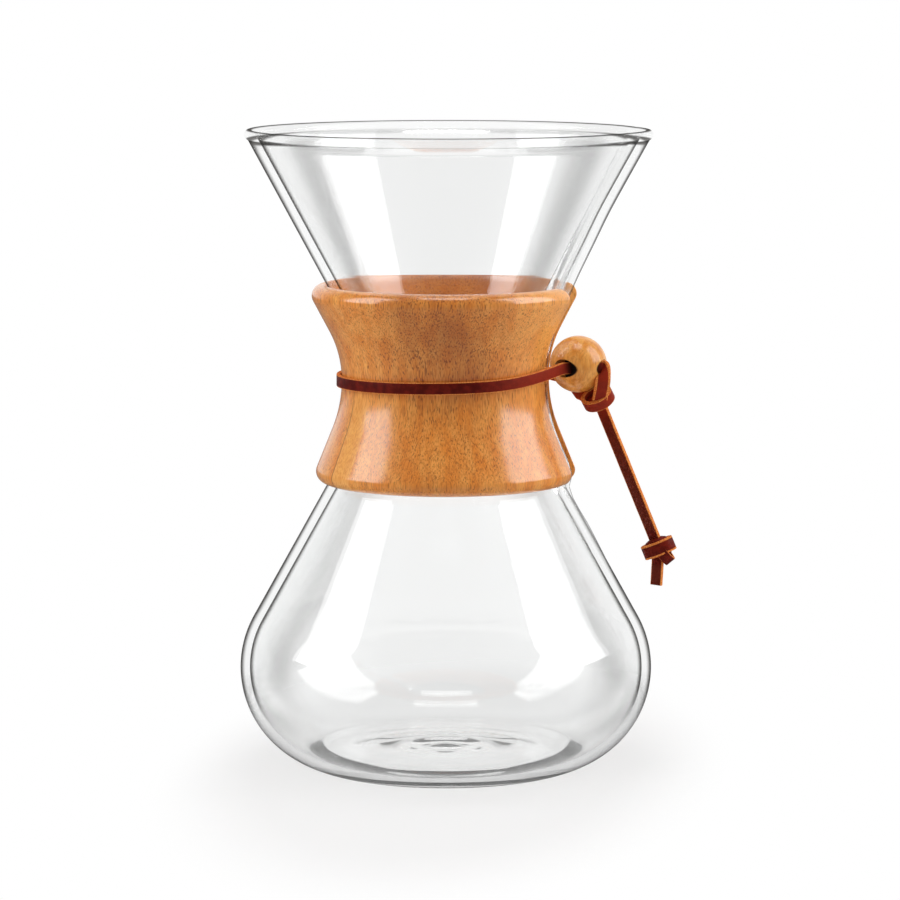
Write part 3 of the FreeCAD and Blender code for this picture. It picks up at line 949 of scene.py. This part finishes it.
def ring_points(centre, side, deep, count):
    """Closed oval path with the half axes side and deep."""
    points = []
    for i in range(count):
        turn = 2 * math.pi * i / count
        points.append(centre + side * math.cos(turn) + deep * math.sin(turn))
    return points


def make_drum(name, centre, side, deep, height, material):
    """Oval filler of a knot with rounded ends, square to its half axes side and deep."""
    axis = side.cross(deep).normalized()
    profile = [(-0.5, 0.55), (-0.42, 0.85), (-0.3, 1.0), (0.3, 1.0), (0.42, 0.85), (0.5, 0.55)]
    rings = [ring_points(centre + axis * along * height, side * w, deep * w, 48) for along, w in profile]
    return capped_tube(name, rings, material)


def make_bead(material):
    """Round bead with a bore to one side of its middle, worn wider at both mouths."""
    bpy.ops.mesh.primitive_uv_sphere_add(
        segments=128, ring_count=64, radius=BEAD_RADIUS * MM, location=BEAD * MM
    )
    ball = bpy.context.object
    ball.name = "bead_wood"
    rings = []
    side = UP.cross(BORE_AXIS).normalized()
    for end, mouth in BORE_MOUTH.items():
        part = [(BORE_HALF + 3.0, mouth), (BORE_HALF - 1.4, mouth), (BORE_HALF - 3.0, BORE_RADIUS)]
        for along, radius in part[::-end]:
            rings.append(ring_points(BORE_MIDDLE + BORE_AXIS * end * along, side * radius, UP * radius, 64))
    cutter = capped_tube("bore cutter", rings, material)
    bpy.context.view_layer.update()
    cut = ball.modifiers.new("Bore", "BOOLEAN")
    cut.operation = "DIFFERENCE"
    cut.solver = "EXACT"
    cut.object = cutter
    apply_modifiers(ball)
    bpy.data.objects.remove(cutter)
    ball.data.transform(ball.matrix_world)
    ball.matrix_world = Matrix()
    ball.data.materials.clear()
    ball.data.materials.append(material)
    ball.data.shade_smooth()
    ball.data.set_sharp_from_angle(angle=math.radians(35))
    return ball


# Pieces on their bodies

glass = make_glass()
collar_wood = make_collar_wood()
bead_wood = make_bead_wood()
leather = make_leather()
tree = lace_tree()

vessel = make_vessel(glass)
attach(vessel, "vessel")
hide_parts("glass_vessel")

for name, side, body, node in (
    ("collar_wood_front", -1, "front_half", "collar_front_half"),
    ("collar_wood_rear", 1, "rear_half", "collar_rear_half"),
):
    half = make_half(name, side, collar_wood)
    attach(half, body)
    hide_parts(node)

bead = make_bead(bead_wood)
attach(bead, "bead")
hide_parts("wood_bead")

points, ways = through(front_strand_stations(), 4)
front_strand = lay_lace("lace_front", points, ways, tree, leather, 1)
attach(front_strand, "front_half")
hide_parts("lace_front_strand")

points, ways = through(loop_stations(), 8)
loop = lay_lace("lace_loop", points, ways, tree, leather, 2, width=LOOP_WIDTH)
points, ways = through(rear_strand_stations(), 4)
rear_strand = lay_lace("lace_rear", points, ways, tree, leather, 3)
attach(rear_strand, "rear_half")
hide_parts("lace_rear_strand")

points, ways = through(band_stations(BRIDGE, 2 * math.pi - BRIDGE, 14), 4)
bridge = lay_lace("lace_bridge", points, ways, tree, leather, 4)
band_point(BRIDGE) * MM
band_point(-BRIDGE) * MM
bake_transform(bridge)

beside_hang = lean(HANG_ANGLE)
knot_deep = BACKWARD * math.cos(KNOT_TILT) - HANG * math.sin(KNOT_TILT)
knot_axis = HANG * math.cos(KNOT_TILT) + BACKWARD * math.sin(KNOT_TILT)
band_half = half_axes(beside_hang, knot_deep, KNOT_HALF_LENGTH, KNOT_HALF_DEPTH, LACE_THICK / 2)
core_half = half_axes(beside_hang, knot_deep, KNOT_HALF_LENGTH, KNOT_HALF_DEPTH, LACE_THICK)
ring = ring_points(KNOT, *band_half, 64)
knot_band = lay_lace("knot_band", ring, [knot_axis] * 64, tree, leather, 5, closed=True)
knot_core = make_drum("knot_core", KNOT + HANG * KNOT_CORE_DROP, *core_half, KNOT_CORE_HEIGHT, leather)
for piece in (loop, knot_band, knot_core):
    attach(piece, "front_half")
    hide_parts("lace_upper_knot")

flat = plan(-HANG_TURN)
strap_way = (flat - HANG * flat.dot(HANG)).normalized()
strap_start = KNOT + HANG * HANG_TOP
strap_end = END_KNOT - HANG * (END_KNOT_HEIGHT / 2 - STRAP_BITE)
strap_points = along_route([strap_start, HANG_PIVOT, strap_end], 20)
strap = lay_lace("hanging_strap", strap_points, [strap_way] * len(strap_points), tree, leather, 6)

band_half = half_axes(beside_hang, BACKWARD, END_KNOT_HALF_LENGTH, END_KNOT_HALF_DEPTH, LACE_THICK / 2)
core_half = half_axes(beside_hang, BACKWARD, END_KNOT_HALF_LENGTH, END_KNOT_HALF_DEPTH, LACE_THICK)
ring = ring_points(END_KNOT, *band_half, 64)
end_band = lay_lace("end_knot_band", ring, [HANG] * 64, tree, leather, 7, closed=True, width=END_KNOT_WIDTH)
turned = Matrix.Rotation(END_TURN_TILT, 3, "Y")
turn_half = turned @ beside_hang * END_TURN_HALF, BACKWARD * END_TURN_HALF
ring = ring_points(END_KNOT + END_TURN_STEP, *turn_half, 48)
turn_ways = [turned @ HANG] * 48
end_turn = lay_lace("end_knot_turn", ring, turn_ways, tree, leather, 9, closed=True, width=END_TURN_WIDTH)
end_core = make_drum("end_knot_core", END_KNOT, *core_half, END_KNOT_HEIGHT - END_KNOT_SHRINK, leather)

fall = lean(TAIL_LEAN - math.pi / 2)
tail_way = (flat - fall * flat.dot(fall)).normalized()
tail_end = END_KNOT + fall * (END_KNOT_HEIGHT / 2 + TAIL_LENGTH)
tail_points = along_route([END_KNOT, END_KNOT + fall * END_KNOT_HEIGHT / 2, tail_end], 5)
tail = lay_lace("lace_tail_end", tail_points, [tail_way] * len(tail_points), tree, leather, 8)

for piece, node in (
    (strap, "lace_hanging_strap"),
    (end_band, "lace_end_knot"),
    (end_turn, "lace_end_knot"),
    (end_core, "lace_end_knot"),
    (tail, "lace_tail"),
):
    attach(piece, "hanging_lace")
    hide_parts(node)


# Studio

# Strength of the room's light on the object, of the room in its reflections and of the backdrop in them
AMBIENT = 0.34
ROOM = 0.1
BACKDROP = 1.0

# Where the camera stands, as an angle in the XY plane
VIEW_TURN = math.radians(6.5 - 90)

# Upright lamps on both sides, in metres
PANEL_DISTANCE = 1.1
PANEL_BOTTOM = 0.27
PANEL_TOP = 1.9

CAMERA_DISTANCE = 1.3
CAMERA_HEIGHT = 0.2656
CAMERA_AIM = 0.1
CAMERA_LENS = 164.6
CAMERA_SHIFT = (4.2 / 900, 6.45 / 900)


def grey(level):
    """Linear grey, where 1 is white."""
    return (level, level, level, 1)


def seen_through_glass(b, path, behind):
    """1 for a ray that has left the glass, less where the glass sent it back to the camera's side."""
    sent_back = b.math("MINIMUM", path["Glossy Depth"], 1) * (1 - behind)
    return path["Is Transmission Ray"] * (1 - sent_back * 0.85)


def make_floor():
    """White sweep: lit and shaded near the object, plain white further out."""
    b = Build(bpy.data.materials.new("studio floor"))
    spread = b.split(b.place())
    path = b.node("ShaderNodeLightPath")
    clear = seen_through_glass(b, path, spread["Y"].step(-0.14, -0.06))
    dark = b.larger(path["Is Glossy Ray"], path["Is Transmission Ray"] - clear)
    matt = b.principled({"Base Color": b.mix(dark, grey(0.88), grey(0.16)), "Roughness": 0.6})
    white = b.node("ShaderNodeEmission", {}, {"Color": grey(1), "Strength": 1.0})["Emission"]
    deep = spread["Y"] * 0.45
    away = b.math("SQRT", spread["X"] * spread["X"] + deep * deep)
    near = path["Is Camera Ray"] * 0.32 + clear * 0.85
    far = b.larger(path["Is Camera Ray"], clear)
    share = near + away.step(0.054, 0.092) * (far - near)
    bpy.ops.mesh.primitive_circle_add(vertices=96, radius=3, fill_type="NGON", location=(0, 0, -0.0002))
    sweep = bpy.context.object
    sweep.name = "studio_floor"
    sweep.data.materials.append(b.output(b.mix_shaders(share, matt, white)))
    return sweep


def make_world():
    """White to the camera and through the glass, dimmer to whatever reflects it."""
    b = Build(bpy.data.worlds.new("studio"))
    path = b.node("ShaderNodeLightPath")
    way = b.split(b.node("ShaderNodeTexCoord")["Generated"])
    white = b.larger(path["Is Camera Ray"], seen_through_glass(b, path, way["Y"].step(-0.75, -0.2)))
    mirrored = b.larger(path["Is Glossy Ray"], path["Is Transmission Ray"])
    backdrop = ROOM + way["Y"].step(0.3, 0.85) * (BACKDROP - ROOM)
    level = AMBIENT + mirrored * (backdrop - AMBIENT)
    level = level + white * (1 - level)
    back = b.node("ShaderNodeBackground", {}, {"Color": grey(1), "Strength": level})["Background"]
    bpy.context.scene.world = b.output(back)


def add_panel(name, place, aim, width, height, brightness):
    """Rectangular lamp at a place, its face turned to the point aim."""
    data = bpy.data.lights.new(name, "AREA")
    data.shape = "RECTANGLE"
    data.size = width
    data.size_y = height
    data.energy = 4 * brightness * width * height
    lamp = bpy.data.objects.new(name, data)
    lamp.location = place
    lamp.rotation_euler = (place - aim).to_track_quat("Z", "Y").to_euler()
    bpy.context.scene.collection.objects.link(lamp)


def add_side_panel(name, azimuth, half_angle, brightness):
    """Upright lamp; azimuth in degrees from the camera's side, positive to the right."""
    side = plan(VIEW_TURN + math.radians(azimuth)) * PANEL_DISTANCE
    middle = UP * (PANEL_BOTTOM + PANEL_TOP) / 2
    width = 2 * PANEL_DISTANCE * math.tan(math.radians(half_angle))
    add_panel(name, side + middle, middle, width, PANEL_TOP - PANEL_BOTTOM, brightness)


def add_camera():
    """Camera at the photograph's angle, with its small shift."""
    data = bpy.data.cameras.new("camera")
    data.sensor_width = 36
    data.lens = CAMERA_LENS
    data.shift_x, data.shift_y = CAMERA_SHIFT
    camera = bpy.data.objects.new("camera", data)
    camera.location = plan(VIEW_TURN) * CAMERA_DISTANCE + UP * CAMERA_HEIGHT
    camera.rotation_euler = (UP * CAMERA_AIM - camera.location).to_track_quat("-Z", "Y").to_euler()
    bpy.context.scene.collection.objects.link(camera)
    return camera


sweep = make_floor()
make_world()
add_side_panel("left panel", -79, 17, 2.8)
add_side_panel("right panel", 84, 22, 2.7)
add_panel("top panel", Vector((0.02, -0.2, 1.5)), UP * 0.1, 0.6, 0.6, 2.9)
bpy.context.scene.camera = add_camera()
bpy.context.scene.view_settings.view_transform = "Standard"
